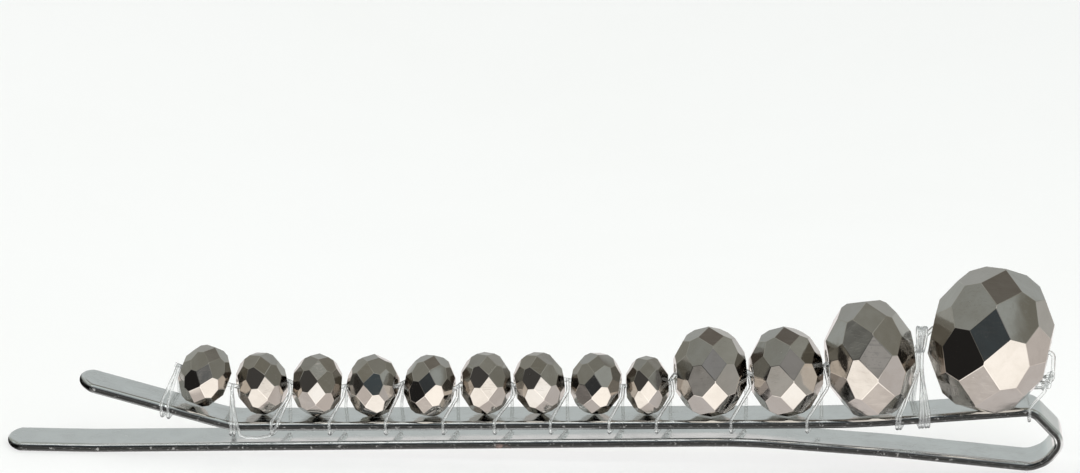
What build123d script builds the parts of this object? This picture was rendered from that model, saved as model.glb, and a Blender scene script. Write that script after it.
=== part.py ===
from build123d import *
import os
from math import atan2, cos, radians, sin, sqrt, tan

# A hair slide: one flat spring strip bent into a long grip, with a row of faceted glass beads
# bound along its upper leg by clear thread. Millimetres. X runs along the slide towards its loop,
# Z is up, and the slide rests on Z = 0 on the tip of its lower leg and on the belly of its loop.

# Spring strip
strip_width = 3.0
strip_thickness = 0.66
strip_edge_round = 0.28
tip_radius = 1.75
tip_corner_round = 0.5
tip_lead = 5.0
flat_length = 6.0
ramp_run = 10.6
ramp_angle = 15.5
waist_height = 1.8
crest_height = 1.36
heel_height = 2.95
loop_height = 4.75
loop_reach = 1.88
loop_overhang = 1.25
bend_radius = 6.0
leg_radius = 60.0

# Beads
bead_corner_count = 8
facet_lean = 26.5
facet_depth_share = 0.99
outer_facet_lean = 57.0
end_flat_share = 0.36
seat_clearance = 0.08
first_bead_before_waist = 1.95
heel_before_large_bead = 1.0

small_diameter = 4.48
small_thickness = 3.36
slim_diameter = 4.2
slim_thickness = 2.9
middle_diameter = 6.45
middle_thickness = 4.85
large_diameter = 8.5
large_thickness = 5.95
giant_diameter = 10.55
giant_thickness = 8.1
small_bore = 1.1
middle_bore = 1.4
large_bore = 1.9

# Thread
thread_diameter = 0.22
thread_clearance = 0.05
core_diameter = 0.3
ramp_lead = 0.3
shoulder_share = 1.25
start_share = 0.2
thread_bend = 0.4
run_share = 0.45
bore_clearance = 0.15
under_clearance = 0.08
neck_gap = 1.27
neck_turns_radius = 1.25
neck_turns_width = 0.5
neck_strand_offset = 0.12
neck_left_slant = 1.0
neck_right_slant = -0.6
neck_back_slant = 0.5
neck_drop_angle = 40
last_wrap_before_loop = 0.25
knot_radius = 0.42
knot_drop = 2.46
knot_back = 0.12
knot_lead = 0.35
knot_drop_angle = 45
tail_rise = 0.9
tail_reach = 0.45
tail_aside = 0.22

# How closely an edge must match a size or direction to be picked
pick_margin = 0.001

# Space between two beads that the thread passes through
bead_gap = thread_diameter + 2 * thread_clearance

# Sizes of bead: outer diameter, thickness along the bore, bore
small = (small_diameter, small_thickness, small_bore)
slim = (slim_diameter, slim_thickness, small_bore)
middle = (middle_diameter, middle_thickness, middle_bore)
large = (large_diameter, large_thickness, large_bore)
giant = (giant_diameter, giant_thickness, large_bore)

# Each bead in order from the ramp to the loop: its size, turn about the bore, swing in plan and
# lean against the strip (in degrees), and stand off the middle as a share of the strip's width
bead_rows = [
    (small, 27, -7, -3, 0.0),
    (small, 15, 12, 3, 0.08),
    (small, 8, 0, -4.5, 0.0),
    (small, 3, -16, 5, -0.03),
    (small, 28, -8, -7.5, -0.09),
    (small, 14.5, 6.5, -2, 0.03),
    (small, 14.5, 8.5, 5.5, 0.03),
    (small, 18, -7.5, -4, -0.02),
    (slim, 12, 2.5, 0.5, -0.02),
    (middle, 33, 6, 0.5, -0.1),
    (middle, 33, 9, 1, -0.11),
    (large, 24, 6, 0, -0.25),
    (giant, 27, -9, -14, -0.31),
]
# Each gap in order from the ramp: its width as a share of the least gap, how far its lashing
# slants back towards the ramp as a share of the strip's width, and the angle, in degrees under
# level, at which the strand leaves the bore
gap_rows = [
    (1.8, -0.07, 35),
    (1.55, 0.4, 25),
    (1.65, 0.35, 25),
    (1.7, 0.35, 25),
    (1.55, 0.33, 25),
    (1.05, 0.4, 25),
    (1.85, 0.38, 25),
    (1.25, 0.32, 25),
    (1.35, 0.33, 25),
    (1.2, 0.36, 25),
    (1.05, 0.36, 25),
]
ramp_slant = 0.35
ramp_drop_angle = 25

os.makedirs("parts", exist_ok=True)

facet_pitch = 360 / bead_corner_count

# Where the beads lie along the slide, measured from the tip of the lower leg
gap_widths = [row[0] * bead_gap for row in gap_rows] + [neck_gap]
waist_x = tip_lead + ramp_run
bead_x = [waist_x - first_bead_before_waist]
for before, after, width in zip(bead_rows, bead_rows[1:], gap_widths):
    bead_x.append(bead_x[-1] + (before[0][1] + after[0][1]) / 2 + width)
giant_end = bead_x[-1] + giant_thickness / 2
slide_length = giant_end + loop_overhang
heel_x = bead_x[-2] - heel_before_large_bead

# Middle line of the strip, from the lower tip round the loop to the upper tip. Rows of the lower
# leg: share of the slide's length, height under the strip as a share of the crest's, bend radius.
half_thickness = strip_thickness / 2
lower_rows = [
    (0.70, 1.05, leg_radius),
    (0.835, 0.62, leg_radius),
]
# Rows of the loop: share of its reach, and height and bend radius as shares of its height
loop_rows = [
    (0.00, 0.0614, 0.40),
    (0.61, 0.165, 0.40),
    (1.00, 0.385, 0.20),
    (1.00, 0.530, 0.20),
    (0.00, 0.941, 0.26),
]
loop_start = slide_length - half_thickness - loop_reach
path_points = [(0, half_thickness), (flat_length, half_thickness)]
path_radii = [leg_radius]
for share, rise, radius in lower_rows:
    path_points.append((slide_length * share, crest_height * rise + half_thickness))
    path_radii.append(radius)
for share, rise, radius in loop_rows:
    path_points.append((loop_start + loop_reach * share, loop_height * rise))
    path_radii.append(loop_height * radius)
path_points.append((heel_x, heel_height + half_thickness))
path_radii.append(leg_radius)
path_points.append((waist_x, waist_height + half_thickness))
path_radii.append(bend_radius)
upper_tip_height = waist_height + half_thickness + ramp_run * tan(radians(ramp_angle))
path_points.append((tip_lead, upper_tip_height))

# The model stands with the middle of its length at X = 0. It is worked out with the strip's
# middle at Y = 0, and each piece is then moved back, so that the largest bead's middle is there
shift_x = -slide_length / 2
shift_y = -bead_rows[-1][-1] * strip_width


def write_out(piece, name):
    """Write a piece to its file, moved back with the rest."""
    with BuildPart() as placed:
        with Locations((0, shift_y, 0)):
            add(piece)
    placed.part.label = name
    export_step(placed.part, f"parts/{name}.step")


def upper_leg(x):
    """Height of the upper leg's middle line and its slope in radians, x from the lower tip."""
    corners = path_points[-4:]
    for right, left in zip(corners, corners[1:]):
        if x >= left[0] or left is corners[-1]:
            slope = (right[1] - left[1]) / (right[0] - left[0])
            return left[1] + slope * (x - left[0]), atan2(slope, 1)


def tip_corners(origin, along):
    """The two corners that are cut away to round a tip of the strip in plan."""
    sagitta = tip_radius - sqrt(tip_radius**2 - (strip_width / 2) ** 2)
    tip_plane = Plane(origin=origin, x_dir=along, z_dir=along.cross(Vector(0, 1, 0)))
    with BuildPart() as corners:
        with BuildSketch(tip_plane):
            with Locations((sagitta / 2, 0)):
                Rectangle(sagitta, 2 * strip_width)
            with Locations((tip_radius, 0)):
                Circle(tip_radius, mode=Mode.SUBTRACT)
        extrude(amount=strip_thickness, both=True)
    return corners.part


def stands_upright(edge):
    """True for an edge that runs through the strip's thickness."""
    return edge.geom_type == GeomType.LINE and abs(edge.length - strip_thickness) < pick_margin


def lies_across(edge):
    """True for a seam that runs straight across the strip's width."""
    return edge.geom_type == GeomType.LINE and abs((edge % 0.5).Y) > 1 - pick_margin


def make_strip():
    """The bent strip with rounded tips and softened edges."""
    points = [(x + shift_x, z) for x, z in path_points]
    with BuildPart() as strip:
        with BuildLine(Plane.XZ) as path:
            FilletPolyline(*points, radius=path_radii)
        line = path.wire()
        with BuildSketch(Plane(origin=line @ 0, x_dir=(0, 1, 0), z_dir=line % 0)):
            Rectangle(strip_width, strip_thickness)
        sweep(path=line)
        add(tip_corners(line @ 0, line % 0), mode=Mode.SUBTRACT)
        add(tip_corners(line @ 1, -(line % 1)), mode=Mode.SUBTRACT)
        fillet(strip.edges().filter_by(stands_upright), tip_corner_round)
        outline = strip.edges().filter_by(lambda e: not stands_upright(e) and not lies_across(e))
        fillet(outline, strip_edge_round)
    return strip


strip = make_strip()
write_out(strip.part, "spring_strip")


def facet_plane(lean, angle, distance):
    """A cutting plane that leans along the bore, at an angle about it, away from the middle."""
    across = cos(radians(lean))
    forward = -across * cos(radians(angle))
    upward = across * sin(radians(angle))
    normal = Vector(sin(radians(lean)), forward, upward)
    return Plane(origin=normal * distance, z_dir=normal)


def cut_bead(diameter, thickness, bore):
    """A drilled bead about the X axis: a girdle of flats, a row each side, and an outer row."""
    beside = facet_depth_share * diameter / 2 * cos(radians(facet_lean))
    end_flat = end_flat_share * diameter / 2
    outer = end_flat * cos(radians(outer_facet_lean))
    outer += thickness / 2 * sin(radians(outer_facet_lean))
    end_plane = Plane.YZ.offset(-thickness / 2)
    with BuildPart() as bead:
        with BuildSketch(end_plane):
            RegularPolygon(diameter / 2, bead_corner_count, rotation=facet_pitch / 2)
        extrude(amount=thickness)
        for step in range(bead_corner_count):
            angle = step * facet_pitch
            for side in (-1, 1):
                row_beside = facet_plane(side * facet_lean, angle + facet_pitch / 2, beside)
                outer_row = facet_plane(side * outer_facet_lean, angle, outer)
                split(bisect_by=row_beside, keep=Keep.BOTTOM)
                split(bisect_by=outer_row, keep=Keep.BOTTOM)
        with BuildSketch(end_plane):
            Circle(bore / 2)
        extrude(amount=thickness, mode=Mode.SUBTRACT)
    return bead.part


bead_shapes = {size: cut_bead(*size) for size in (small, slim, middle, large, giant)}


def bead_plane(number):
    """The plane of a bead: origin in its middle, X along the bore, Z away from the strip."""
    size, turn, swing, lean, aside = bead_rows[number]
    seated = bead_shapes[size].moved(Location((0, 0, 0), (-turn, 0, 0)))
    seated = seated.moved(Location((0, 0, 0), (0, -lean, 0)))
    rise = half_thickness + seat_clearance - seated.bounding_box().min.Z
    _, slope = upper_leg(bead_x[number])
    foot_x = bead_x[number] + rise * sin(slope)
    height, slope = upper_leg(foot_x)
    tilt = slope + radians(lean)
    yaw = radians(swing)
    along = Vector(cos(tilt) * cos(yaw), cos(tilt) * sin(yaw), sin(tilt))
    up = Vector(-sin(tilt) * cos(yaw), -sin(tilt) * sin(yaw), cos(tilt))
    x = foot_x + shift_x - rise * sin(slope)
    z = height + rise * cos(slope)
    return Plane(origin=(x, aside * strip_width, z), x_dir=along, z_dir=up)


bead_planes = [bead_plane(number) for number in range(len(bead_rows))]
for number, (size, turn, _, _, _) in enumerate(bead_rows):
    with BuildPart(bead_planes[number]) as bead:
        with Locations(Rotation(-turn, 0, 0)):
            add(bead_shapes[size])
    write_out(bead.part, f"bead_{number + 1:02d}")


def corner_radii(points):
    """The bend at each inner point: as large as its two runs allow, up to the thread's bend."""
    radii = []
    for before, point, after in zip(points, points[1:], points[2:]):
        turn = radians((point - before).get_angle(after - point))
        shorter = min((point - before).length, (after - point).length)
        radii.append(min(thread_bend, run_share * shorter / tan(turn / 2)))
    return radii


def thread_run(points, diameter):
    """A round strand along straight runs joined by arcs."""
    with BuildPart() as run:
        with BuildLine() as path:
            FilletPolyline(*points, radius=corner_radii(points))
        line = path.wire()
        with BuildSketch(Plane(origin=line @ 0, z_dir=line % 0)):
            Circle(diameter / 2)
        sweep(path=line)
    return run.part


def bore_mouth(number, side):
    """The middle of a bore's mouth, side -1 towards the ramp and 1 towards the loop."""
    place = bead_planes[number]
    return place.origin + place.x_dir * side * bead_rows[number][0][1] / 2


def bore_pass(number, side, target):
    """Where the core crosses a bore's mouth: as near the target as the bore leaves room."""
    mouth = bore_mouth(number, side)
    room = bead_rows[number][0][2] / 2 - core_diameter / 2 - bore_clearance
    along = bead_planes[number].x_dir
    offset = target - mouth
    offset -= along * offset.dot(along)
    if offset.length > room:
        offset = offset.normalized() * room
    return mouth + offset


def gap_along(number):
    """The direction across a gap, midway between the two bores' directions."""
    return (bead_planes[number].x_dir + bead_planes[number + 1].x_dir).normalized()


def gap_middle(number):
    """The point level with both bores, midway between the ends of the two beads."""
    mouths = (bore_mouth(number, 1), bore_mouth(number + 1, -1))
    halfway = (mouths[0] + mouths[1]) * 0.5
    along = gap_along(number)
    offset = 0
    for mouth, place in zip(mouths, bead_planes[number : number + 2]):
        offset += (mouth - halfway).dot(place.x_dir) / along.dot(place.x_dir)
    return halfway + along * offset / 2


def shoulder(number):
    """How far from the bore a strand clears the flat end of the larger bead beside a gap."""
    widest = max(row[0][0] for row in bead_rows[number : number + 2])
    return end_flat_share * widest / 2 * shoulder_share


def gap_directions(number):
    """Forward and down in the plane of a gap, square to the bores on its two sides."""
    before = bead_planes[max(number, 0)]
    after = bead_planes[number + 1]
    forward = (before.y_dir + after.y_dir) * -0.5
    down = (before.z_dir + after.z_dir) * -0.5
    return forward, down


def lashing(top, directions, reach, angle, front_x, back_x, below=0.0):
    """A strand from the core down the front of the leg, under it and up behind."""
    forward, down = directions
    start = forward * core_diameter * start_share
    out = forward * reach * cos(radians(angle))
    drop = down * reach * sin(radians(angle))
    side = strip_width / 2 + under_clearance + thread_diameter / 2
    points = [top + start, top + out + drop]
    for x, y in ((front_x, -side), (back_x, side)):
        height, slope = upper_leg(x - shift_x)
        half = (half_thickness + under_clearance + thread_diameter / 2) / cos(slope)
        corner = [Vector(x, y, height + half), Vector(x, y, height - half - below)]
        points += corner if y < 0 else reversed(corner)
    points += [top - out + drop, top - start]
    return thread_run(points, thread_diameter)


def core_run(knot):
    """The core: from outside the first bore, through every bead, and down to the knot."""
    last = len(bead_rows) - 1
    first_mouth = bore_mouth(0, -1)
    lead_out = first_mouth - bead_planes[0].x_dir * (ramp_lead + thread_diameter)
    points = [lead_out, bore_pass(0, -1, first_mouth)]
    for number in range(last):
        middle_point = gap_middle(number)
        points.append(bore_pass(number, 1, middle_point))
        points.append(bore_pass(number + 1, -1, middle_point))
    way_out = bore_pass(last, 1, knot)
    over_edge = way_out + bead_planes[last].x_dir * knot_lead
    points += [way_out, over_edge, Vector(over_edge.X, knot.Y, knot.Z + knot_radius), knot]
    return thread_run(points, core_diameter)


def make_thread():
    """The thread: core, knot, turns at the neck, lashings, last wrap and cut tail.

    The knot's ball is laid over, so that no strand meets its seam or its poles.
    """
    last = len(bead_rows) - 1
    knot = bore_mouth(last, 1) - Vector(knot_back, 0, knot_drop)
    neck = gap_middle(last - 1)
    runs = []

    ramp_top = bore_mouth(0, -1) - bead_planes[0].x_dir * ramp_lead
    ramp_foot = ramp_top.X - ramp_slant * strip_width
    directions = gap_directions(-1)
    runs.append(
        lashing(ramp_top, directions, shoulder(0), ramp_drop_angle, ramp_foot, ramp_top.X)
    )
    for number, (_, slant, angle) in enumerate(gap_rows):
        top = gap_middle(number)
        foot_x = top.X - slant * strip_width
        directions = gap_directions(number)
        runs.append(lashing(top, directions, shoulder(number), angle, foot_x, top.X))

    directions = gap_directions(last - 1)
    reach = shoulder(last - 1)
    for side, slant in ((-1, neck_left_slant), (1, neck_right_slant)):
        top = neck + gap_along(last - 1) * side * neck_strand_offset
        foot_x = neck.X - slant
        back_x = neck.X + side * neck_back_slant
        runs.append(lashing(top, directions, reach, neck_drop_angle, foot_x, back_x))

    wrap_x = loop_start + shift_x - last_wrap_before_loop
    sides = (Vector(0, -1, 0), Vector(0, 0, -1))
    runs.append(
        lashing(knot, sides, knot_radius, knot_drop_angle, wrap_x, wrap_x, under_clearance)
    )
    tail_bend = knot + Vector(knot_radius, 0, knot_radius)
    tail_end = knot + Vector(tail_reach, -tail_aside, tail_rise)
    runs.append(thread_run([knot, tail_bend, tail_end], thread_diameter))

    with BuildPart() as thread:
        add(core_run(knot))
        with Locations(Location(knot, (0, 90, 0))):
            Sphere(knot_radius)
        with BuildSketch(Plane(origin=neck, z_dir=gap_along(last - 1))):
            Circle(neck_turns_radius)
        extrude(amount=neck_turns_width / 2, both=True)
        for run in runs:
            add(run)
    return thread


thread = make_thread()
write_out(thread.part, "binding_thread")
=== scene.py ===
import random
from math import atan2, ceil, cos, pi, radians, sin, sqrt, tan

import bmesh
import bpy
from mathutils import Matrix, Vector


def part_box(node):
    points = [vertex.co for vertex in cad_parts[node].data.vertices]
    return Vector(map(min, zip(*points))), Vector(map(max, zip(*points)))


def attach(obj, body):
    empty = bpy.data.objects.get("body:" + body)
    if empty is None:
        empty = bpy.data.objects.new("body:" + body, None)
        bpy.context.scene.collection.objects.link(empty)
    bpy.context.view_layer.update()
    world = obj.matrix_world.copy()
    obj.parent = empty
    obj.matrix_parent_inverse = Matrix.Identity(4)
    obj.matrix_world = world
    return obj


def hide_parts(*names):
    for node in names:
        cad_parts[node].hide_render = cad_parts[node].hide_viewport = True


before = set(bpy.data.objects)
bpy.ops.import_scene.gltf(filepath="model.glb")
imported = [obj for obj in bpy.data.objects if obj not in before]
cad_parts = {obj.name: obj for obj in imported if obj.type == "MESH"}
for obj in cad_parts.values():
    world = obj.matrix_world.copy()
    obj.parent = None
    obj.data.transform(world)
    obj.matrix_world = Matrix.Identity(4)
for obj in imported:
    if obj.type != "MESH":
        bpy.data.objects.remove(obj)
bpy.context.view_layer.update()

# Hair slide: a bent spring strip, thirteen faceted coated beads and the clear thread that binds
# them on. Shapes are worked out in millimetres and turned into metres by MM.
MM = 0.001
SEED = 7

# The strip, a hair thinner than its solid: its middle line runs from the lower tip round the loop
# to the upper tip
STRIP_WIDTH = 3.0
STRIP_THICKNESS = 0.652
STRIP_ROUND = 0.31
TIP_RADIUS = 1.75
TIP_CORNER = 0.5
BOX_ROOM = 0.004  # kept free at each end of the slide, inside the solid's box
TIP_LEAD = 5.0
FLAT_LENGTH = 6.0
RAMP_RUN = 10.6
RAMP_ANGLE = 15.5
WAIST_HEIGHT = 1.8
CREST_HEIGHT = 1.36
HEEL_HEIGHT = 2.95
HEEL_BEFORE_LARGE_BEAD = 1.0
LOOP_HEIGHT = 4.75
LOOP_REACH = 1.88
BEND_RADIUS = 6.0
LEG_RADIUS = 60.0
LOWER_ROWS = [(0.70, 1.05), (0.835, 0.62)]
LOOP_ROWS = [
    (0.00, 0.0614, 0.40),
    (0.61, 0.165, 0.40),
    (1.00, 0.385, 0.20),
    (1.00, 0.530, 0.20),
    (0.00, 0.941, 0.26),
]
# Steps along the middle line, round the tips and round the edge, and how finely flats are held
STATION_STEP = 0.35
STATION_TURN = radians(2.5)
TIP_ARC_STEPS = 18
TIP_CORNER_STEPS = 10
TIP_CLEAR = 0.1
EDGE_STEPS = 10
FLAT_SUPPORT = 0.03
STRIP_MERGE = 1e-5

# The rounded edge carries painted dark reflection and shade, and is a little rougher, below this
# share of its height; up to this X the painted dark is lifted off the upper leg's lower rim, which
# shows its own bright reflection. Pairs are where a fade starts and ends.
BAND_TOP = 0.55
BAND_FADE = 0.1
BAND_LIFTED_TO = 4.0
BAND_LIFTED_FADE = 1
BAND_LIFTED_HEIGHTS = (-0.35, -0.6)
BAND_ON_LOOP = (0.5, 0.3)
BAND_LEG_RUN = (0.5, 0.9)

# Beads from the ramp to the loop: size, swing in plan and lean against the strip, in degrees
SMALL, SLIM, MIDDLE = (4.48, 3.36), (4.2, 2.9), (6.45, 4.85)
LARGE, GIANT = (8.5, 5.95), (10.55, 8.1)
BEADS = [
    (SMALL, -7, -3),
    (SMALL, 12, 3),
    (SMALL, 0, -4.5),
    (SMALL, -16, 5),
    (SMALL, -8, -7.5),
    (SMALL, 6.5, -2),
    (SMALL, 8.5, 5.5),
    (SMALL, -7.5, -4),
    (SLIM, 2.5, 0.5),
    (MIDDLE, 6, 0.5),
    (MIDDLE, 9, 1),
    (LARGE, 6, 0),
    (GIANT, -9, -14),
]
END_FLAT_SHARE = 0.36
# Cleaning a bead's mesh and easing its facet edges, in millimetres and radians
BEAD_MERGE = 0.002
FLAT_WITHIN = radians(0.4)
EDGE_OVER = radians(12)
EASE_LEAST = 0.006
EASE_PER_ROOT = 0.008
EASE_SEGMENTS = 2
EASE_PROFILE = 0.6

# Thread
THREAD = 0.22
THREAD_SIDES = 12
THREAD_BEND = 0.35
CORE = 0.3
THREAD_BEND_STEPS = 7
UNDER_ROOM = 0.08
SHOULDER = 1.25

# Lashings round the upper leg: gap, how far the front strand slants towards the ramp in
# millimetres, and the angle in degrees under level at which it leaves the bore
LASHINGS = [
    (0, -0.2, 35),
    (0, 0.05, 35),
    (1, 1.2, 25),
    (2, 1.05, 25),
    (3, 1.05, 25),
    (4, 1.0, 25),
    (5, 1.2, 25),
    (6, 1.15, 25),
    (7, 0.95, 25),
    (8, 1.0, 25),
    (9, 1.1, 25),
    (10, 1.1, 25),
]
RAMP_LEAD = 0.3
RAMP_SLANTS = [1.05, 0.72]
RAMP_STRAND_ANGLE = 25
RAMP_STRAND_APART = 0.12
RAMP_STRAND_CLOSER = 0.2
# The slack strand that sags under the leg between the first two gaps, from the strip's middle
SLACK_STRAND = [
    (-20.62, -1.74, 2.6),
    (-20.42, -1.72, 1.72),
    (-20.0, -1.5, 1.45),
    (-19.1, -1.4, 1.38),
    (-18.35, -1.55, 1.62),
    (-17.85, -1.76, 2.5),
]
SLACK_ANGLE = 35
# The neck between the two largest beads: loops round the core and the strands under them
NECK_LOOPS = 5
NECK_LOOP_RADIUS = 0.92
NECK_LOOP_SPREAD = 0.62
NECK_LOOP_UNEVEN = (-0.07, 0.05)
NECK_LOOP_LEAN = 0.06
NECK_LOOP_SHAPE = (0.62, 0.38)
NECK_LOOP_STEPS = 28
NECK_SLANTS = [(1.3, 0.4), (1.52, 0.45), (-0.1, 0.3), (-0.3, 0.2), (-0.52, -0.4), (-0.7, -0.5)]
NECK_ANGLE = 40
NECK_TOP_ASIDE = 0.2
NECK_TOP_SHARES = (0.3, 1)
NECK_REACH_UNEVEN = 0.2
# The knot over the loop, from the last bore's mouth, and its cut tail
KNOT_PLACE = (-0.12, 0.0, -2.46)
KNOT_RADIUS = 0.3
KNOT_DEPTH = 1.6
KNOT_LOBES = 3
KNOT_STEPS = 60
KNOT_WRAP_REACH = 0.42
KNOT_WRAP_ANGLE = 45
KNOT_LUMPS = [(0.0, 0.0, 0.0, 20), (0.18, -0.06, 0.62, 100)]
KNOT_TAIL = [(0.1, 0.0, 0.5), (0.42, -0.1, 0.8), (0.36, -0.2, 1.1)]
LAST_WRAP_BEFORE_LOOP = 0.25
CORE_PAST_BORE = 0.35
CORE_OVER_KNOT = 0.5

# Colours of the pieces
COAT_WARM = (0.47, 0.43, 0.385)
COAT_COOL = (0.44, 0.42, 0.395)
COAT_SMUDGED = (0.38, 0.345, 0.305)
COAT_EDGE = (0.60, 0.55, 0.50)
STEEL = (0.79, 0.805, 0.80)
STEEL_DULL = (0.71, 0.72, 0.715)
STEEL_SCRATCH = (0.90, 0.90, 0.89)
# The next three colours paint the rounded edge: nick specks, its dark reflection and shade, and
# lighter streaks in it
STEEL_NICK_IN_PAINTED_DARK = (0.20, 0.20, 0.195)
STEEL_PAINTED_DARK = (0.02, 0.02, 0.019)
STEEL_PAINTED_STREAK = (0.30, 0.30, 0.295)
STAIN = (0.36, 0.25, 0.22)
STAIN_PLACE = (-2.3, -0.07, 0.7)
STAIN_REACH = 1.1
NYLON = (0.97, 0.98, 0.975)
NYLON_CLOUD = (0.88, 0.89, 0.88)
# painted shade towards the thread's outline
NYLON_PAINTED_EDGE_SHADE = (0.20, 0.22, 0.22)
DUST = (0.62, 0.60, 0.57)
PAPER = (0.88, 0.88, 0.88)
PAPER_SHADE = (0.865, 0.865, 0.862)

# Camera: angles at the slide in degrees, lens in mm, the photograph's scale in pixels to the mm,
# the pixel where the strip's middle meets the floor, and clipping in metres
VIEW_ELEVATION = 24.0
VIEW_ROLL = 1.15
LENS = 250.0
SENSOR = 36.0
PICTURE = (1080, 473)
PIXELS_PER_MM = 14.4
MIDDLE_PIXEL = (534.6, 453.5)
CLIP_FROM, CLIP_TO = 0.01, 20


def bead_node(number):
    return f"bead_{number + 1:02d}"


def bead_middle(number):
    """A bead's middle: that of its solid's box, because the bead is point-symmetric."""
    low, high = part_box(bead_node(number))
    return (low + high) / 2 / MM


def plane_of(number):
    """A bead's bore direction, its direction away from the strip, and the one across both."""
    _, swing, lean = BEADS[number]
    middle = bead_middles[number]
    tilt = upper_leg(middle.x)[1] + radians(lean)
    yaw = radians(swing)
    along = Vector((cos(tilt) * cos(yaw), cos(tilt) * sin(yaw), sin(tilt)))
    up = Vector((-sin(tilt) * cos(yaw), -sin(tilt) * sin(yaw), cos(tilt)))
    return along, up, up.cross(along)


bead_middles = [bead_middle(number) for number in range(len(BEADS))]
strip_low, strip_high = (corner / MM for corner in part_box("spring_strip"))
strip_middle_y = (strip_low.y + strip_high.y) / 2
slide_length = strip_high.x - strip_low.x - 2 * BOX_ROOM
half_thickness = STRIP_THICKNESS / 2
shift_x = -slide_length / 2
loop_start = slide_length - half_thickness - LOOP_REACH
waist_x = TIP_LEAD + RAMP_RUN
heel_x = bead_middles[-2].x - shift_x - HEEL_BEFORE_LARGE_BEAD


def path_corners():
    """Corners of the strip's middle line and the bend radius at each inner one."""
    corners = [(0, half_thickness), (FLAT_LENGTH, half_thickness)]
    radii = [LEG_RADIUS]
    for share, rise in LOWER_ROWS:
        corners.append((slide_length * share, CREST_HEIGHT * rise + half_thickness))
        radii.append(LEG_RADIUS)
    for share, rise, radius in LOOP_ROWS:
        corners.append((loop_start + LOOP_REACH * share, LOOP_HEIGHT * rise))
        radii.append(LOOP_HEIGHT * radius)
    corners.append((heel_x, HEEL_HEIGHT + half_thickness))
    radii.append(LEG_RADIUS)
    corners.append((waist_x, WAIST_HEIGHT + half_thickness))
    radii.append(BEND_RADIUS)
    tip_height = WAIST_HEIGHT + half_thickness + RAMP_RUN * tan(radians(RAMP_ANGLE))
    corners.append((TIP_LEAD, tip_height))
    return [Vector((x + shift_x, z)) for x, z in corners], radii


corners, corner_radii = path_corners()


def upper_leg(x):
    """Height of the upper leg's middle line and its slope in radians at x."""
    rows = corners[-4:]
    for right, left in zip(rows, rows[1:]):
        if x >= left.x or left is rows[-1]:
            slope = (right.y - left.y) / (right.x - left.x)
            return left.y + slope * (x - left.x), atan2(slope, 1)


def smooth_path(points, radii, step, turn_step):
    """Points and directions along straight runs joined by arcs."""
    samples = [(points[0], (points[1] - points[0]).normalized())]

    def run_to(end):
        start, along = samples[-1][0], (end - samples[-1][0])
        count = max(1, ceil(along.length / step))
        direction = along.normalized()
        for index in range(1, count + 1):
            samples.append((start + along * index / count, direction))

    for before, corner, after, radius in zip(points, points[1:], points[2:], radii):
        arrive, leave = (corner - before).normalized(), (after - corner).normalized()
        turn = atan2(arrive.x * leave.y - arrive.y * leave.x, arrive.dot(leave))
        reach = radius * tan(abs(turn) / 2)
        run_to(corner - arrive * reach)
        side = 1 if turn > 0 else -1
        normal = Vector((-arrive.y, arrive.x)) * side
        centre = corner - arrive * reach + normal * radius
        count = max(2, ceil(abs(turn) / turn_step))
        for index in range(1, count + 1):
            angle = turn * index / count
            spoke = Matrix.Rotation(angle, 2) @ (-normal)
            samples.append((centre + spoke * radius, Matrix.Rotation(angle, 2) @ arrive))
    run_to(points[-1])
    return samples


def tip_outline():
    """Plan of a rounded tip: distance from the tip, half width, and outward direction."""
    half_width = STRIP_WIDTH / 2
    inner = TIP_RADIUS - TIP_CORNER
    corner_y = half_width - TIP_CORNER
    corner_s = TIP_RADIUS - sqrt(inner**2 - corner_y**2)
    meet = atan2(corner_y, TIP_RADIUS - corner_s)
    rows = []
    for index in range(TIP_ARC_STEPS + 1):
        angle = meet * index / TIP_ARC_STEPS
        out = Vector((-cos(angle), sin(angle)))
        rows.append((Vector((TIP_RADIUS, 0)) + out * TIP_RADIUS, out))
    for index in range(1, TIP_CORNER_STEPS + 1):
        angle = meet + (pi / 2 - meet) * index / TIP_CORNER_STEPS
        out = Vector((-cos(angle), sin(angle)))
        rows.append((Vector((corner_s, corner_y)) + out * TIP_CORNER, out))
    return rows


def to_mesh(name, mesh):
    """An object at the origin around a finished mesh."""
    thing = bpy.data.objects.new(name, mesh)
    bpy.context.scene.collection.objects.link(thing)
    return thing


def dress(thing, slot_name, *nodes):
    """Rides on the slide's one body and stands for its solids; the slot name is not used."""
    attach(thing, "root")
    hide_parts(*nodes)
    return thing


def step(value, low, high):
    """A smooth step from 0 at low to 1 at high."""
    share = min(max((value - low) / (high - low), 0.0), 1.0)
    return share * share * (3 - 2 * share)


def painted_dark_reflection(across, run, x):
    """How dark the painted reflection and shade on the strip's rounded edge are: across it from -1
    to 1, run along X from -1 to 1.
    """
    upright = across * run
    on_leg = step(upright, BAND_TOP + BAND_FADE, BAND_TOP - BAND_FADE)
    if run < 0:
        # on the upper leg left of a set X the painted dark is lifted off the lower rim, so its own
        # bright reflection shows
        worn_and_unshaded = step(x, BAND_LIFTED_TO + BAND_LIFTED_FADE, BAND_LIFTED_TO - BAND_LIFTED_FADE)
        on_leg *= 1 - worn_and_unshaded * step(upright, *BAND_LIFTED_HEIGHTS)
    on_loop = step(abs(across), *BAND_ON_LOOP)
    leg = step(abs(run), *BAND_LEG_RUN)
    return leg * on_leg + (1 - leg) * on_loop


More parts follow.
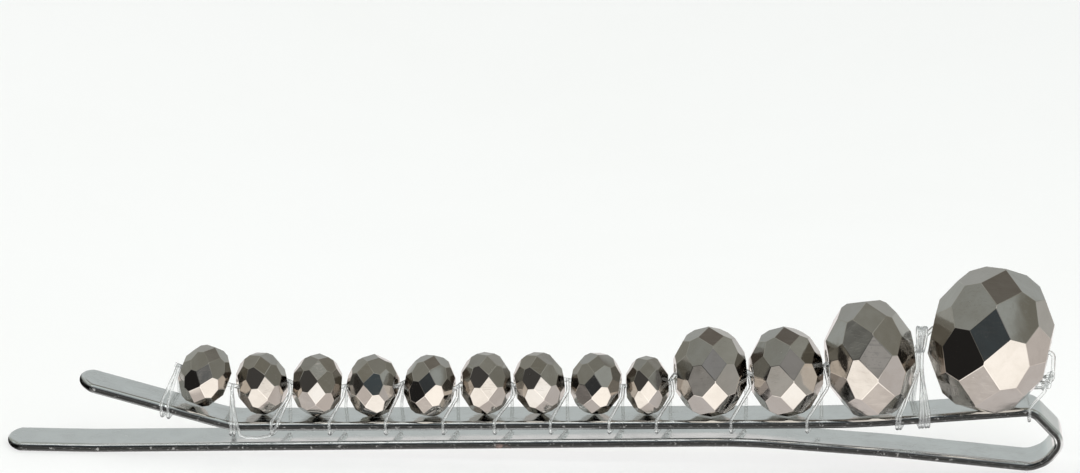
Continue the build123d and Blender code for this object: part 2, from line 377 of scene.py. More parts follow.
def make_strip(material):
    """The polished strip: rings round its plan outline, carried along the bent middle line."""
    samples = smooth_path(corners, corner_radii, STATION_STEP, STATION_TURN)
    distances = [0.0]
    for (before, _), (after, _) in zip(samples, samples[1:]):
        distances.append(distances[-1] + (after - before).length)
    total = distances[-1]

    def place(s, y, h):
        s = min(max(s, -1.0), total + 1.0)
        low, high = 0, len(distances) - 1
        while high - low > 1:
            middle = (low + high) // 2
            if distances[middle] <= s:
                low = middle
            else:
                high = middle
        (p0, d0), (p1, d1) = samples[low], samples[high]
        share = (s - distances[low]) / (distances[high] - distances[low])
        point = p0 + (p1 - p0) * share
        direction = (d0 + (d1 - d0) * share).normalized()
        normal = Vector((-direction.y, direction.x))
        spot = point + normal * h
        return Vector((spot.x, strip_middle_y + y, spot.y)), direction.x

    tip = tip_outline()
    tip_end = tip[-1][0].x
    outline = [(spot.x, spot.y, out) for spot, out in tip]
    clear = tip_end + TIP_CLEAR
    straight = [d for d in distances if clear < d < total - clear]
    outline += [(d, STRIP_WIDTH / 2, Vector((0, 1))) for d in straight]
    outline += [(total - spot.x, spot.y, Vector((-out.x, out.y))) for spot, out in reversed(tip)]

    profile = []
    for index in range(EDGE_STEPS + 1):
        angle = pi / 2 * index / EDGE_STEPS
        inset = STRIP_ROUND * (1 - sin(angle))
        height = half_thickness - STRIP_ROUND * (1 - cos(angle))
        profile.append((inset, height, sin(angle), cos(angle)))
    profile += [(inset, -height, rim, -across) for inset, height, rim, across in reversed(profile)]
    inset = STRIP_ROUND + FLAT_SUPPORT
    profile = [(inset, half_thickness, 0, 1)] + profile + [(inset, -half_thickness, 0, -1)]

    mesh = bmesh.new()
    rim_layer = mesh.verts.layers.float.new("rim")
    band_layer = mesh.verts.layers.float.new("painted_dark_reflection")
    uv_layer = mesh.loops.layers.uv.new("strip_map")
    sides = []
    for side in (1, -1):
        rows = []
        for index, (s, w, out) in enumerate(outline):
            at_tip = index in (0, len(outline) - 1)
            row = []
            for inset, height, rim, across in profile:
                spot_s, spot_w = s - out.x * inset, w - out.y * inset
                if at_tip and side < 0:
                    row.append(sides[0][index][len(row)])
                    continue
                spot, run = place(spot_s, side * spot_w, height)
                vert = mesh.verts.new(spot * MM)
                vert[rim_layer] = rim
                # how much painted dark reflection and shade each edge vertex carries
                vert[band_layer] = rim * painted_dark_reflection(across, run, spot.x)
                row.append((vert, spot_s, side * spot_w, height))
            rows.append(row)
        sides.append(rows)

    def face(entries):
        verts = []
        for entry in entries:
            if entry[0] not in verts:
                verts.append(entry[0])
        if len(verts) < 3:
            return
        made = mesh.faces.new(verts)
        made.smooth = True
        lookup = {entry[0]: entry for entry in entries}
        for loop in made.loops:
            _, s, y, h = lookup[loop.vert]
            edge = y + (half_thickness - h) * (1 if y > 0 else -1)
            loop[uv_layer].uv = (s, edge)

    for which, rows in enumerate(sides):
        for a, b in zip(rows, rows[1:]):
            for k in range(len(profile) - 1):
                quad = [a[k], b[k], b[k + 1], a[k + 1]]
                face(quad if which == 0 else quad[::-1])
    left, right = sides
    for index in range(len(outline) - 1):
        for k, flip in ((0, False), (-1, True)):
            quad = [left[index][k], right[index][k], right[index + 1][k], left[index + 1][k]]
            face(quad[::-1] if flip else quad)
    bmesh.ops.remove_doubles(mesh, verts=mesh.verts, dist=STRIP_MERGE * MM)
    bmesh.ops.recalc_face_normals(mesh, faces=mesh.faces)
    data = bpy.data.meshes.new("polished_strip")
    mesh.to_mesh(data)
    mesh.free()
    data.materials.append(material)
    return to_mesh("polished_strip", data)


def make_bead(number, material):
    """A bead cut as its solid is, with its facet edges eased."""
    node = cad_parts[bead_node(number)]
    size = BEADS[number][0]
    mesh = bmesh.new()
    mesh.from_mesh(node.data)
    bmesh.ops.scale(mesh, vec=(1 / MM,) * 3, verts=mesh.verts)
    bmesh.ops.remove_doubles(mesh, verts=mesh.verts, dist=BEAD_MERGE)
    bmesh.ops.dissolve_limit(mesh, angle_limit=FLAT_WITHIN, verts=mesh.verts, edges=mesh.edges)
    edges = [e for e in mesh.edges if e.is_manifold and e.calc_face_angle() > EDGE_OVER]
    facet_layer = mesh.faces.layers.float.new("facet")
    rim_layer = mesh.faces.layers.float.new("rim")
    draw = random.Random(SEED + number)
    for face in mesh.faces:
        face[facet_layer] = draw.random()
    made = bmesh.ops.bevel(
        mesh,
        geom=edges,
        offset=EASE_PER_ROOT * size[0] ** 0.5 + EASE_LEAST,
        segments=EASE_SEGMENTS,
        profile=EASE_PROFILE,
        affect="EDGES",
        clamp_overlap=True,
    )
    for face in made["faces"]:
        face[rim_layer] = 1.0
        face.smooth = True
    bmesh.ops.scale(mesh, vec=(MM,) * 3, verts=mesh.verts)
    name = f"faceted_{bead_node(number)}"
    data = bpy.data.meshes.new(name)
    mesh.to_mesh(data)
    mesh.free()
    data.materials.append(material)
    return to_mesh(name, data)


def new_group(name, kind, inputs, outputs):
    """A node group with named sockets: (name, type, default) in, (name, type) out."""
    group = bpy.data.node_groups.new(name, kind)
    for label, socket_type, default in inputs:
        socket = group.interface.new_socket(label, in_out="INPUT", socket_type=socket_type)
        if default is not None:
            socket.default_value = default
    for label, socket_type in outputs:
        group.interface.new_socket(label, in_out="OUTPUT", socket_type=socket_type)
    entry = group.nodes.new("NodeGroupInput")
    leave = group.nodes.new("NodeGroupOutput")
    return group, entry, leave


def thread_tree():
    """Geometry nodes that turn poly curves into round strands with bent corners."""
    group, entry, leave = new_group(
        "thread_strands",
        "GeometryNodeTree",
        [
            ("Route", "NodeSocketGeometry", None),
            ("Diameter", "NodeSocketFloat", THREAD * MM),
            ("Bend Radius", "NodeSocketFloat", THREAD_BEND * MM),
            ("Sides", "NodeSocketInt", THREAD_SIDES),
            ("Material", "NodeSocketMaterial", None),
        ],
        [("Strands", "NodeSocketGeometry")],
    )
    nodes, links = group.nodes, group.links
    fillet = nodes.new("GeometryNodeFilletCurve")
    fillet.mode = "POLY"
    fillet.inputs["Count"].default_value = THREAD_BEND_STEPS
    fillet.inputs["Limit Radius"].default_value = True
    circle = nodes.new("GeometryNodeCurvePrimitiveCircle")
    half = nodes.new("ShaderNodeMath")
    half.operation = "MULTIPLY"
    half.inputs[1].default_value = 0.5
    tube = nodes.new("GeometryNodeCurveToMesh")
    tube.inputs["Fill Caps"].default_value = True
    smooth = nodes.new("GeometryNodeSetShadeSmooth")
    real = nodes.new("GeometryNodeRealizeInstances")
    paint = nodes.new("GeometryNodeSetMaterial")
    links.new(entry.outputs["Route"], fillet.inputs["Curve"])
    links.new(entry.outputs["Bend Radius"], fillet.inputs["Radius"])
    links.new(entry.outputs["Diameter"], half.inputs[0])
    links.new(half.outputs[0], circle.inputs["Radius"])
    links.new(entry.outputs["Sides"], circle.inputs["Resolution"])
    links.new(fillet.outputs["Curve"], tube.inputs["Curve"])
    links.new(circle.outputs["Curve"], tube.inputs["Profile Curve"])
    links.new(tube.outputs["Mesh"], smooth.inputs["Geometry"])
    links.new(smooth.outputs["Geometry"], real.inputs["Geometry"])
    links.new(real.outputs["Geometry"], paint.inputs["Geometry"])
    links.new(entry.outputs["Material"], paint.inputs["Material"])
    links.new(paint.outputs["Geometry"], leave.inputs["Strands"])
    return group


def set_input(modifier, label, value):
    """Sets a modifier's input by its socket's identifier."""
    for item in modifier.node_group.interface.items_tree:
        if item.item_type == "SOCKET" and item.in_out == "INPUT" and item.name == label:
            modifier[item.identifier] = value


def make_strands(name, routes, diameter, material, tree):
    """Round strands along routes of points in millimetres, as one plain mesh."""
    curve = bpy.data.curves.new(f"{name}_route", "CURVE")
    curve.dimensions = "3D"
    for points in routes:
        spline = curve.splines.new("POLY")
        spline.points.add(len(points) - 1)
        for slot_point, point in zip(spline.points, points):
            slot_point.co = (*(Vector(point) * MM), 1)
    route = bpy.data.objects.new(f"{name}_route", curve)
    bpy.context.scene.collection.objects.link(route)
    modifier = route.modifiers.new("strands", "NODES")
    modifier.node_group = tree
    set_input(modifier, "Diameter", diameter * MM)
    set_input(modifier, "Bend Radius", THREAD_BEND * MM)
    set_input(modifier, "Sides", THREAD_SIDES)
    set_input(modifier, "Material", material)
    bpy.context.view_layer.update()
    shown = route.evaluated_get(bpy.context.evaluated_depsgraph_get())
    mesh = bpy.data.meshes.new_from_object(shown)
    mesh.name = name
    bpy.data.objects.remove(route)
    return to_mesh(name, mesh)


def bore_mouth(number, side):
    along, _, _ = plane_of(number)
    return bead_middles[number] + along * side * BEADS[number][0][1] / 2


def gap_middle(number):
    """Midway between the ends of two beads, level with both bores."""
    mouths = (bore_mouth(number, 1), bore_mouth(number + 1, -1))
    halfway = (mouths[0] + mouths[1]) / 2
    directions = (plane_of(number)[0], plane_of(number + 1)[0])
    along = (directions[0] + directions[1]).normalized()
    offset = 0
    for mouth, direction in zip(mouths, directions):
        offset += (mouth - halfway).dot(direction) / along.dot(direction)
    return halfway + along * offset / 2


def gap_directions(number):
    """Forward and down in the plane of a gap, square to the bores on its two sides."""
    planes = [plane_of(max(number, 0)), plane_of(number + 1)]
    forward = -(planes[0][2] + planes[1][2]).normalized()
    down = -(planes[0][1] + planes[1][1]).normalized()
    return forward, down


def shoulder(number):
    """How far from the bore a strand clears the flat end of the larger bead beside a gap."""
    widest = max(size[0] for size, _, _ in BEADS[max(number, 0) : number + 2])
    return END_FLAT_SHARE * widest / 2 * SHOULDER


def lashing(top, directions, reach, angle, front_x, back_x, below=0.0):
    """A strand from the core down the front of the leg, under it and up behind, in millimetres."""
    forward, down = directions
    out = forward * reach * cos(radians(angle))
    drop = down * reach * sin(radians(angle))
    room = half_thickness + UNDER_ROOM + THREAD / 2
    side = STRIP_WIDTH / 2 + UNDER_ROOM + THREAD / 2
    points = [top, top + out + drop]
    for x, y in ((front_x, -side), (back_x, side)):
        height, slope = upper_leg(x)
        half = room / cos(slope)
        spot_y = strip_middle_y + y
        corner = [Vector((x, spot_y, height + half)), Vector((x, spot_y, height - half - below))]
        points += corner if y < 0 else reversed(corner)
    points += [top - out + drop, top]
    return points


def slack_route():
    """The strand that leaves the first gap, sags under the leg and comes up in the second."""
    ends = []
    for number in (0, 1):
        forward, down = gap_directions(number)
        angle = radians(SLACK_ANGLE)
        top = gap_middle(number)
        ends.append([top, top + (forward * cos(angle) + down * sin(angle)) * shoulder(number)])
    sag = [Vector((x, strip_middle_y + y, z)) for x, y, z in SLACK_STRAND]
    return ends[0] + sag + ends[1][::-1]


def loop_route(middle, along, radius, spread, lean, phase):
    """A turn round the core: it stands spread from the middle above and close to it below."""
    forward, down = gap_directions(len(BEADS) - 2)
    points = []
    wide, narrowing = NECK_LOOP_SHAPE
    for index in range(NECK_LOOP_STEPS + 1):
        angle = 2 * pi * index / NECK_LOOP_STEPS + phase
        aside = spread * (wide - narrowing * cos(angle)) + lean * sin(angle)
        spoke = forward * sin(angle) + down * cos(angle)
        points.append(middle + spoke * radius + along * aside)
    return points


def knot_route(middle, turn):
    """A small overhand knot with three lobes."""
    points = []
    spin = Matrix.Rotation(radians(turn), 3, "Y")
    for index in range(KNOT_STEPS + 1):
        angle = 2 * pi * index / KNOT_STEPS
        across = sin(angle) + 2 * sin(2 * angle)
        upward = cos(angle) - 2 * cos(2 * angle)
        deep = -KNOT_DEPTH * sin(KNOT_LOBES * angle)
        spot = Vector((across, deep, upward)) * KNOT_RADIUS / KNOT_LOBES
        points.append(middle + spin @ spot)
    return points


def core_route(knot):
    """The core: from outside the first bore, through every bead, and down to the knot."""
    last = len(BEADS) - 1
    first_mouth = bore_mouth(0, -1)
    points = [first_mouth - plane_of(0)[0] * (RAMP_LEAD + THREAD), first_mouth]
    for number in range(last):
        points += [bore_mouth(number, 1), gap_middle(number), bore_mouth(number + 1, -1)]
    way_out = bore_mouth(last, 1)
    over_edge = way_out + plane_of(last)[0] * CORE_PAST_BORE
    over_knot = Vector((over_edge.x, knot.y, knot.z + CORE_OVER_KNOT))
    return points + [way_out, over_edge, over_knot, knot]


def strand_routes(knot):
    """Every strand but the core: lashings, slack strand, neck, knot, tail and last wrap."""
    last = len(BEADS) - 1
    routes = []
    ramp_top = bore_mouth(0, -1) - plane_of(0)[0] * RAMP_LEAD
    directions = gap_directions(-1)
    for index, slant in enumerate(RAMP_SLANTS):
        top = ramp_top + Vector((RAMP_STRAND_APART * index, 0, 0))
        reach = shoulder(-1) - RAMP_STRAND_CLOSER * index
        foot_x = top.x - slant
        routes.append(lashing(top, directions, reach, RAMP_STRAND_ANGLE, foot_x, top.x))
    for number, slant, angle in LASHINGS:
        top = gap_middle(number)
        directions = gap_directions(number)
        routes.append(lashing(top, directions, shoulder(number), angle, top.x - slant, top.x))
    routes.append(slack_route())

    neck = gap_middle(last - 1)
    along = (plane_of(last - 1)[0] + plane_of(last)[0]).normalized()
    directions = gap_directions(last - 1)
    draw = random.Random(SEED)
    for index in range(NECK_LOOPS):
        share = index / (NECK_LOOPS - 1) - 0.5
        radius = NECK_LOOP_RADIUS + draw.uniform(*NECK_LOOP_UNEVEN)
        spread = NECK_LOOP_SPREAD * share
        lean = draw.uniform(-NECK_LOOP_LEAN, NECK_LOOP_LEAN)
        routes.append(loop_route(neck, along, radius, spread, lean, draw.uniform(0, 2 * pi)))
    for slant, back in NECK_SLANTS:
        side = -1 if slant > 0 else 1
        top = neck + along * NECK_TOP_ASIDE * side * draw.uniform(*NECK_TOP_SHARES)
        reach = shoulder(last - 1) - draw.uniform(0, NECK_REACH_UNEVEN)
        routes.append(lashing(top, directions, reach, NECK_ANGLE, neck.x - slant, neck.x - back))

    wrap_x = loop_start + shift_x - LAST_WRAP_BEFORE_LOOP
    sides = (Vector((0, -1, 0)), Vector((0, 0, -1)))
    routes.append(
        lashing(knot, sides, KNOT_WRAP_REACH, KNOT_WRAP_ANGLE, wrap_x, wrap_x, UNDER_ROOM)
    )
    for x, y, z, turn in KNOT_LUMPS:
        routes.append(knot_route(knot + Vector((x, y, z)), turn))
    routes.append([knot] + [knot + Vector(point) for point in KNOT_TAIL])
    return routes


def link_value(links, target, source):
    """Feeds a socket from another socket, or sets it to a plain value."""
    if isinstance(source, bpy.types.NodeSocket):
        links.new(source, target)
    else:
        target.default_value = source


def math_node(tree, operation, *values, clamp=False):
    node = tree.nodes.new("ShaderNodeMath")
    node.operation = operation
    node.use_clamp = clamp
    for socket, value in zip(node.inputs, values):
        link_value(tree.links, socket, value)
    return node.outputs[0]


def vector_node(tree, operation, *values, out="Vector"):
    node = tree.nodes.new("ShaderNodeVectorMath")
    node.operation = operation
    for socket, value in zip(node.inputs, values):
        link_value(tree.links, socket, value)
    return node.outputs[out]


def remap(tree, value, low, high, to_low=0.0, to_high=1.0):
    """A smooth step from one range to another."""
    node = tree.nodes.new("ShaderNodeMapRange")
    node.interpolation_type = "SMOOTHSTEP"
    link_value(tree.links, node.inputs["Value"], value)
    labels = ("From Min", "From Max", "To Min", "To Max")
    for label, number in zip(labels, (low, high, to_low, to_high)):
        node.inputs[label].default_value = number
    return node.outputs["Result"]


def blend(tree, factor, first, second):
    """A colour between two colours."""
    node = tree.nodes.new("ShaderNodeMix")
    node.data_type = "RGBA"
    link_value(tree.links, node.inputs["Factor"], factor)
    for label, colour in (("A", first), ("B", second)):
        socket = next(item for item in node.inputs if item.name == label and item.type == "RGBA")
        if not isinstance(colour, bpy.types.NodeSocket):
            colour = (*colour, 1)
        link_value(tree.links, socket, colour)
    return next(item for item in node.outputs if item.type == "RGBA")


def noise(tree, vector, scale, detail=2.0, roughness=0.5, warp=0.0):
    node = tree.nodes.new("ShaderNodeTexNoise")
    link_value(tree.links, node.inputs["Vector"], vector)
    link_value(tree.links, node.inputs["Scale"], scale)
    node.inputs["Detail"].default_value = detail
    node.inputs["Roughness"].default_value = roughness
    node.inputs["Distortion"].default_value = warp
    return node.outputs["Fac"]


def scratch_group():
    """Fine scratches, long in the vector's first direction, with a few crossing ones."""
    group, entry, leave = new_group(
        "fine_scratches",
        "ShaderNodeTree",
        [
            ("Vector", "NodeSocketVector", None),
            ("Along", "NodeSocketFloat", 0.2),
            ("Across", "NodeSocketFloat", 9.0),
            ("Amount", "NodeSocketFloat", 1.0),
        ],
        [("Mask", "NodeSocketFloat")],
    )
    stretch = group.nodes.new("ShaderNodeCombineXYZ")
    group.links.new(entry.outputs["Along"], stretch.inputs["X"])
    group.links.new(entry.outputs["Across"], stretch.inputs["Y"])
    group.links.new(entry.outputs["Across"], stretch.inputs["Z"])
    masks = []
    for turn, low, high in ((0.0, 0.60, 0.68), (0.5, 0.66, 0.72), (-0.9, 0.68, 0.73)):
        spin = group.nodes.new("ShaderNodeVectorRotate")
        spin.rotation_type = "Z_AXIS"
        spin.inputs["Angle"].default_value = turn
        group.links.new(entry.outputs["Vector"], spin.inputs["Vector"])
        spread = vector_node(group, "MULTIPLY", spin.outputs["Vector"], stretch.outputs["Vector"])
        masks.append(remap(group, noise(group, spread, 1.0, 1.5), low, high))
    most = math_node(group, "MAXIMUM", math_node(group, "MAXIMUM", masks[0], masks[1]), masks[2])
    mask = math_node(group, "MULTIPLY", most, entry.outputs["Amount"], clamp=True)
    group.links.new(mask, leave.inputs["Mask"])
    return group


def marks_group():
    """Handling marks: broad smudges and sparse specks of dust."""
    group, entry, leave = new_group(
        "handling_marks",
        "ShaderNodeTree",
        [
            ("Vector", "NodeSocketVector", None),
            ("Smudge Scale", "NodeSocketFloat", 0.6),
            ("Dust Scale", "NodeSocketFloat", 5.0),
            ("Dust Size", "NodeSocketFloat", 0.16),
        ],
        [("Smudge", "NodeSocketFloat"), ("Dust", "NodeSocketFloat")],
    )
    field = noise(group, entry.outputs["Vector"], entry.outputs["Smudge Scale"], 4.0, 0.6, 0.4)
    group.links.new(remap(group, field, 0.38, 0.68), leave.inputs["Smudge"])
    cells = group.nodes.new("ShaderNodeTexVoronoi")
    group.links.new(entry.outputs["Vector"], cells.inputs["Vector"])
    group.links.new(entry.outputs["Dust Scale"], cells.inputs["Scale"])
    near = math_node(group, "LESS_THAN", cells.outputs["Distance"], entry.outputs["Dust Size"])
    parts = group.nodes.new("ShaderNodeSeparateColor")
    group.links.new(cells.outputs["Color"], parts.inputs["Color"])
    chosen = math_node(group, "GREATER_THAN", parts.outputs[0], 0.7)
    group.links.new(math_node(group, "MULTIPLY", near, chosen), leave.inputs["Dust"])
    return group


def wear_group():
    """Wear along an edge: the edge's own mask, broken up by small nicks."""
    group, entry, leave = new_group(
        "rim_wear",
        "ShaderNodeTree",
        [
            ("Rim", "NodeSocketFloat", 0.0),
            ("Vector", "NodeSocketVector", None),
            ("Nick Scale", "NodeSocketFloat", 3.0),
        ],
        [("Worn", "NodeSocketFloat"), ("Nicks", "NodeSocketFloat")],
    )
    field = noise(group, entry.outputs["Vector"], entry.outputs["Nick Scale"], 3.0, 0.7)
    patchy, sparse = remap(group, field, 0.3, 0.6, 0.35, 1.0), remap(group, field, 0.6, 0.66)
    worn_and_unshaded = math_node(group, "MULTIPLY", entry.outputs["Rim"], patchy)
    nicks = math_node(group, "MULTIPLY", entry.outputs["Rim"], sparse)
    group.links.new(worn_and_unshaded, leave.inputs["Worn"])
    group.links.new(nicks, leave.inputs["Nicks"])
    return group


def use_group(tree, group, **values):
    """A group node with its named sockets fed; underscores stand for spaces."""
    node = tree.nodes.new("ShaderNodeGroup")
    node.node_tree = group
    for label, value in values.items():
        link_value(tree.links, node.inputs[label.replace("_", " ")], value)
    return node.outputs


def new_material(name):
    material = bpy.data.materials.new(name)
    material.use_nodes = True
    tree = material.node_tree
    return material, tree, tree.nodes["Principled BSDF"]


def object_millimetres(tree):
    where = tree.nodes.new("ShaderNodeTexCoord")
    return vector_node(tree, "MULTIPLY", where.outputs["Object"], (1 / MM,) * 3)


def attribute(tree, name):
    node = tree.nodes.new("ShaderNodeAttribute")
    node.attribute_name = name
    return node.outputs["Fac"]


def bump(tree, height, distance_mm, strength=1.0):
    node = tree.nodes.new("ShaderNodeBump")
    node.inputs["Strength"].default_value = strength
    node.inputs["Distance"].default_value = distance_mm * MM
    tree.links.new(height, node.inputs["Height"])
    return node.outputs["Normal"]


def lay_over(tree, colour, *layers):
    """A colour with others laid over it, each given as its mask, its strength and its colour."""
    for mask, strength, over in layers:
        colour = blend(tree, math_node(tree, "MULTIPLY", mask, strength), colour, over)
    return colour


def add_up(tree, total, *shares):
    """A value with each mask's share added, given as the mask and its amount."""
    for mask, amount in shares:
        total = math_node(tree, "MULTIPLY_ADD", mask, amount, total)
    return total


# How large the marks are on each material, and the scratches' density along and across
GLASS_MARKS = {"Smudge_Scale": 0.55, "Dust_Scale": 2.6, "Dust_Size": 0.09}
GLASS_SCRATCHES = {"Along": 0.5, "Across": 7.0, "Amount": 0.7}
GLASS_NICK_SCALE = 1.6
GLASS_WAVES = (0.9, 1.0)
GLASS_RELIEF = 0.012
STEEL_MARKS = {"Smudge_Scale": 0.5, "Dust_Scale": 2.2, "Dust_Size": 0.08}
STEEL_SCRATCHES = {"Along": 0.35, "Across": 8.0, "Amount": 1.0}
STEEL_NICK_SCALE = 2.6
# Stretch and range of the lighter painted streaks inside the edge's painted dark reflection
BAND_STREAK_STRETCH = (1.6, 16.0, 16.0)
BAND_STREAK_RANGE = (0.60, 0.72)
STEEL_GRAIN = (0.5, 5.0, 5.0)
STEEL_RELIEF = 0.004
STAIN_RANGE = (0.45, 0.62)
NYLON_MARKS = {"Smudge_Scale": 1.4, "Dust_Scale": 4.0, "Dust_Size": 0.1}
NYLON_EDGE_SHADE_RANGE = (0.2, 0.8)
NYLON_TRANSMISSION = 0.86
NYLON_IOR = 1.5
NYLON_RELIEF = 0.02
PAPER_MARKS = {"Smudge_Scale": 0.02, "Dust_Scale": 0.3, "Dust_Size": 0.02}
PAPER_ROUGHNESS = 0.7
PAPER_RELIEF = 0.01


def coated_glass(scratches, marks, wear):
    """Cut glass under an opaque, warm grey metallic coat; each facet differs a little."""
    material, tree, shader = new_material("coated_glass")
    place = object_millimetres(tree)
    facet = attribute(tree, "facet")
    marked = use_group(tree, marks, Vector=place, **GLASS_MARKS)
    smudge, dust = marked["Smudge"], marked["Dust"]
    scratched = use_group(tree, scratches, Vector=place, **GLASS_SCRATCHES)["Mask"]
    rim = attribute(tree, "rim")
    worn_and_unshaded = use_group(tree, wear, Rim=rim, Vector=place, Nick_Scale=GLASS_NICK_SCALE)["Worn"]
    coat = blend(tree, facet, COAT_WARM, COAT_COOL)
    layers = ((smudge, 0.35, COAT_SMUDGED), (worn_and_unshaded, 0.6, COAT_EDGE), (dust, 0.15, DUST))
    tree.links.new(lay_over(tree, coat, *layers), shader.inputs["Base Color"])
    shader.inputs["Metallic"].default_value = 1.0
    rough = add_up(tree, 0.05, (smudge, 0.06), (facet, 0.035), (scratched, 0.1), (dust, 0.12))
    tree.links.new(rough, shader.inputs["Roughness"])
    height = add_up(tree, noise(tree, place, *GLASS_WAVES), (scratched, -0.06))
    tree.links.new(bump(tree, height, GLASS_RELIEF), shader.inputs["Normal"])
    return material


def polished_steel(scratches, marks, wear):
    """Polished spring steel: scratches along the strip, faint blotches, nicked rims, a stain, and
    painted dark reflection and shade on the rounded edge.
    """
    material, tree, shader = new_material("polished_steel")
    place = object_millimetres(tree)
    along = tree.nodes.new("ShaderNodeUVMap")
    along.uv_map = "strip_map"
    flat_map = along.outputs["UV"]
    marked = use_group(tree, marks, Vector=place, **STEEL_MARKS)
    smudge, dust = marked["Smudge"], marked["Dust"]
    scratched = use_group(tree, scratches, Vector=flat_map, **STEEL_SCRATCHES)["Mask"]
    rim = attribute(tree, "rim")
    nicks = use_group(tree, wear, Rim=rim, Vector=place, Nick_Scale=STEEL_NICK_SCALE)["Nicks"]
    near_stain = vector_node(tree, "DISTANCE", place, STAIN_PLACE, out="Value")
    patchy = remap(tree, noise(tree, place, 1.8, 3.0), *STAIN_RANGE)
    stain = math_node(tree, "MULTIPLY", remap(tree, near_stain, STAIN_REACH, 0.0), patchy)
    # painted dark reflection and shade on the rounded edge: a near-black base colour, a dimmed
    # specular tint and more roughness
    band = attribute(tree, "painted_dark_reflection")
    # lighter painted streaks, and specks where the edge is nicked, break up the painted dark
    # reflection on the edge
    band_streak_field = noise(tree, vector_node(tree, "MULTIPLY", flat_map, BAND_STREAK_STRETCH), 1.0, 3.0, 0.65)
    streaks = math_node(tree, "MULTIPLY", remap(tree, band_streak_field, *BAND_STREAK_RANGE), band)
    specks = math_node(tree, "MULTIPLY", nicks, band)
    steel = lay_over(
        tree,
        STEEL,
        (smudge, 0.5, STEEL_DULL),
        (scratched, 0.35, STEEL_SCRATCH),
        (band, 1.0, STEEL_PAINTED_DARK),
        (streaks, 0.8, STEEL_PAINTED_STREAK),
        (specks, 1.0, STEEL_NICK_IN_PAINTED_DARK),
        (stain, 1.0, STAIN),
        (dust, 0.5, DUST),
    )
    tree.links.new(steel, shader.inputs["Base Color"])
    # the painted dark reflection also dims the edge's specular tint
    rim_tint = lay_over(tree, (1.0, 1.0, 1.0), (band, 0.9, STEEL_PAINTED_DARK))
    tree.links.new(rim_tint, shader.inputs["Specular Tint"])
    shader.inputs["Metallic"].default_value = 1.0
    rough = add_up(tree, 0.1, (smudge, 0.07), (scratched, 0.12), (band, 0.12), (stain, 0.2))
    tree.links.new(rough, shader.inputs["Roughness"])
    grain = noise(tree, vector_node(tree, "MULTIPLY", flat_map, STEEL_GRAIN), 1.0, 3.0)
    height = add_up(tree, grain, (scratched, -0.5), (specks, -2.0))
    tree.links.new(bump(tree, height, STEEL_RELIEF), shader.inputs["Normal"])
    return material


def clear_thread(marks):
    """Clear thread: glassy, with painted shade greying it towards its outline, a little uneven and
    dusty.
    """
    material, tree, shader = new_material("clear_thread")
    place = object_millimetres(tree)
    marked = use_group(tree, marks, Vector=place, **NYLON_MARKS)
    smudge, dust = marked["Smudge"], marked["Dust"]
    # painted shade: the thread's colour greys towards its outline
    outline = tree.nodes.new("ShaderNodeLayerWeight")
    outline.inputs["Blend"].default_value = 0.5
    shade = remap(tree, outline.outputs["Facing"], *NYLON_EDGE_SHADE_RANGE)
    body = lay_over(tree, blend(tree, shade, NYLON, NYLON_PAINTED_EDGE_SHADE), (smudge, 0.3, NYLON_CLOUD))
    tree.links.new(body, shader.inputs["Base Color"])
    shader.inputs["Transmission Weight"].default_value = NYLON_TRANSMISSION
    shader.inputs["IOR"].default_value = NYLON_IOR
    rough = add_up(tree, 0.04, (smudge, 0.12), (dust, 0.3))
    tree.links.new(rough, shader.inputs["Roughness"])
    uneven = bump(tree, noise(tree, place, 1.6, 2.0), NYLON_RELIEF)
    tree.links.new(uneven, shader.inputs["Normal"])
    return material


def pale_floor(marks):
    """Plain pale paper with hardly any tone."""
    material, tree, shader = new_material("pale_floor")
    place = object_millimetres(tree)
    smudge = use_group(tree, marks, Vector=place, **PAPER_MARKS)["Smudge"]
    tree.links.new(blend(tree, smudge, PAPER, PAPER_SHADE), shader.inputs["Base Color"])
    tree.links.new(add_up(tree, PAPER_ROUGHNESS, (smudge, 0.1)), shader.inputs["Roughness"])
    fibres = bump(tree, noise(tree, place, 2.5, 3.0), PAPER_RELIEF)
    tree.links.new(fibres, shader.inputs["Normal"])
    return material


# The floor reaches this far each way in metres, and lies this far under the slide
FLOOR_REACH = 1.6
FLOOR_DROP = 0.00002


def make_floor(material):
    mesh = bpy.data.meshes.new("floor")
    signs = ((-1, -1), (1, -1), (1, 1), (-1, 1))
    spots = [(x * FLOOR_REACH, y * FLOOR_REACH, -FLOOR_DROP) for x, y in signs]
    mesh.from_pydata(spots, [], [(0, 1, 2, 3)])
    mesh.materials.append(material)
    floor = to_mesh("floor", mesh)
    floor.visible_glossy = False


# What the beads and strip reflect, as soft spots painted one over the other: direction, inner and
# outer angle in degrees, colour
WORLD_LOW = (0.30, 0.30, 0.26)
WORLD_HIGH = (0.58, 0.63, 0.62)
WORLD_PATCHES = 2.6
WORLD_PATCH_RANGE = (0.36, 0.64)
SPOTS = [
    ((0.0, 0.0, -1.0), 72, 92, (0.97, 0.93, 0.92)),
    ((0.0, 0.92, 0.40), 12, 40, (0.53, 0.56, 0.555)),
    ((0.23, 0.67, 0.70), 8, 22, (0.19, 0.17, 0.15)),
    ((0.0, -0.90, 0.44), 24, 42, (0.06, 0.065, 0.07)),
    ((0.19, -0.76, 0.63), 10, 26, (0.10, 0.13, 0.15)),
    ((0.17, -0.725, 0.665), 6, 14, (0.44, 0.45, 0.46)),
    ((0.11, -0.91, 0.40), 3, 8, (0.60, 0.61, 0.62)),
    ((-0.93, -0.36, -0.05), 18, 36, (0.03, 0.03, 0.03)),
    ((-0.72, -0.50, 0.48), 12, 24, (0.10, 0.10, 0.10)),
    ((0.16, -0.88, -0.45), 31, 42, (2.1, 2.08, 2.05)),
    ((-0.54, -0.59, -0.60), 9, 19, (2.0, 1.98, 1.95)),
    ((0.0, -0.30, 0.954), 4, 10, (1.5, 1.5, 1.5)),
]


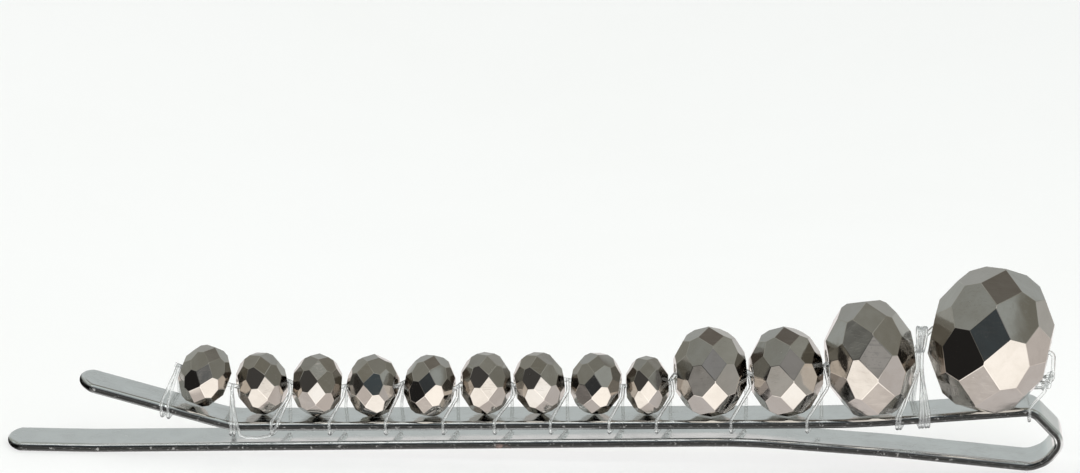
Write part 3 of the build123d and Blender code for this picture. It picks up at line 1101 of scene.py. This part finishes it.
def make_world():
    world = bpy.data.worlds.new("studio")
    bpy.context.scene.world = world
    world.use_nodes = True
    nodes, links = world.node_tree.nodes, world.node_tree.links
    back = nodes["Background"]
    where = nodes.new("ShaderNodeTexCoord")
    patches = noise(world.node_tree, where.outputs["Generated"], WORLD_PATCHES, 2.0)
    patches = remap(world.node_tree, patches, *WORLD_PATCH_RANGE)
    colour = blend(world.node_tree, patches, WORLD_LOW, WORLD_HIGH)
    for direction, inner, outer, tint in SPOTS:
        near = nodes.new("ShaderNodeVectorMath")
        near.operation = "DOT_PRODUCT"
        near.inputs[1].default_value = Vector(direction).normalized()
        links.new(where.outputs["Generated"], near.inputs[0])
        fade = nodes.new("ShaderNodeMapRange")
        fade.interpolation_type = "SMOOTHSTEP"
        fade.inputs["From Min"].default_value = cos(radians(outer))
        fade.inputs["From Max"].default_value = cos(radians(inner))
        links.new(near.outputs["Value"], fade.inputs["Value"])
        colour = blend(world.node_tree, fade.outputs["Result"], colour, tint)
    links.new(colour, back.inputs["Color"])


# Soft lights that no piece reflects: name, place and target in metres, and watts
LIGHTS = [
    ("over_right", (0.25, -0.28, 0.45), (0.04, -0.06, 0), 2.2),
    ("over_left", (-0.3, 0.1, 0.5), (0, 0, 0), 1.8),
]
LIGHT_SIZE = 0.5


def area_light(name, place, target, watts):
    data = bpy.data.lights.new(name, "AREA")
    data.size = LIGHT_SIZE
    data.energy = watts
    light = bpy.data.objects.new(name, data)
    bpy.context.scene.collection.objects.link(light)
    light.location = place
    light.rotation_mode = "QUATERNION"
    light.rotation_quaternion = (Vector(target) - Vector(place)).to_track_quat("-Z", "Y")
    light.visible_glossy = False
    light.visible_camera = False
    data.use_shadow = False


def make_camera():
    """Looks at the slide as the photograph does, a little rolled, with a long lens."""
    data = bpy.data.cameras.new("camera")
    data.lens = LENS
    data.sensor_width = SENSOR
    camera = bpy.data.objects.new("camera", data)
    bpy.context.scene.collection.objects.link(camera)
    distance = PICTURE[0] / PIXELS_PER_MM * LENS / SENSOR
    right_mm = (MIDDLE_PIXEL[0] - PICTURE[0] / 2) / PIXELS_PER_MM
    down_mm = (MIDDLE_PIXEL[1] - PICTURE[1] / 2) / PIXELS_PER_MM
    elevation = radians(VIEW_ELEVATION) - atan2(down_mm, distance)
    forward = Vector((0, cos(elevation), -sin(elevation)))
    flat_right, flat_up = Vector((1, 0, 0)), Vector((0, sin(elevation), cos(elevation)))
    roll = radians(VIEW_ROLL)
    right = flat_right * cos(roll) + flat_up * sin(roll)
    up = flat_up * cos(roll) - flat_right * sin(roll)
    target = right * -right_mm + up * down_mm + Vector((0, strip_middle_y, 0))
    place = target - forward * distance
    basis = Matrix((right, up, -forward)).transposed().to_4x4()
    camera.matrix_world = Matrix.Translation(place * MM) @ basis
    data.clip_start, data.clip_end = CLIP_FROM, CLIP_TO
    bpy.context.scene.camera = camera


make_camera()
make_world()
for light in LIGHTS:
    area_light(*light)

scratches, marks, wear = scratch_group(), marks_group(), wear_group()
make_floor(pale_floor(marks))
steel, glass = polished_steel(scratches, marks, wear), coated_glass(scratches, marks, wear)
nylon = clear_thread(marks)
dress(make_strip(steel), "clip_steel", "spring_strip")
for number in range(len(BEADS)):
    dress(make_bead(number, glass), "coated_glass", bead_node(number))
tree = thread_tree()
knot = bore_mouth(len(BEADS) - 1, 1) + Vector(KNOT_PLACE)
core = make_strands("thread_core", [core_route(knot)], CORE, nylon, tree)
strands = make_strands("thread_strands", strand_routes(knot), THREAD, nylon, tree)
for piece in (core, strands):
    dress(piece, "clear_thread", "binding_thread")

scene = bpy.context.scene
scene.view_settings.view_transform = "Standard"
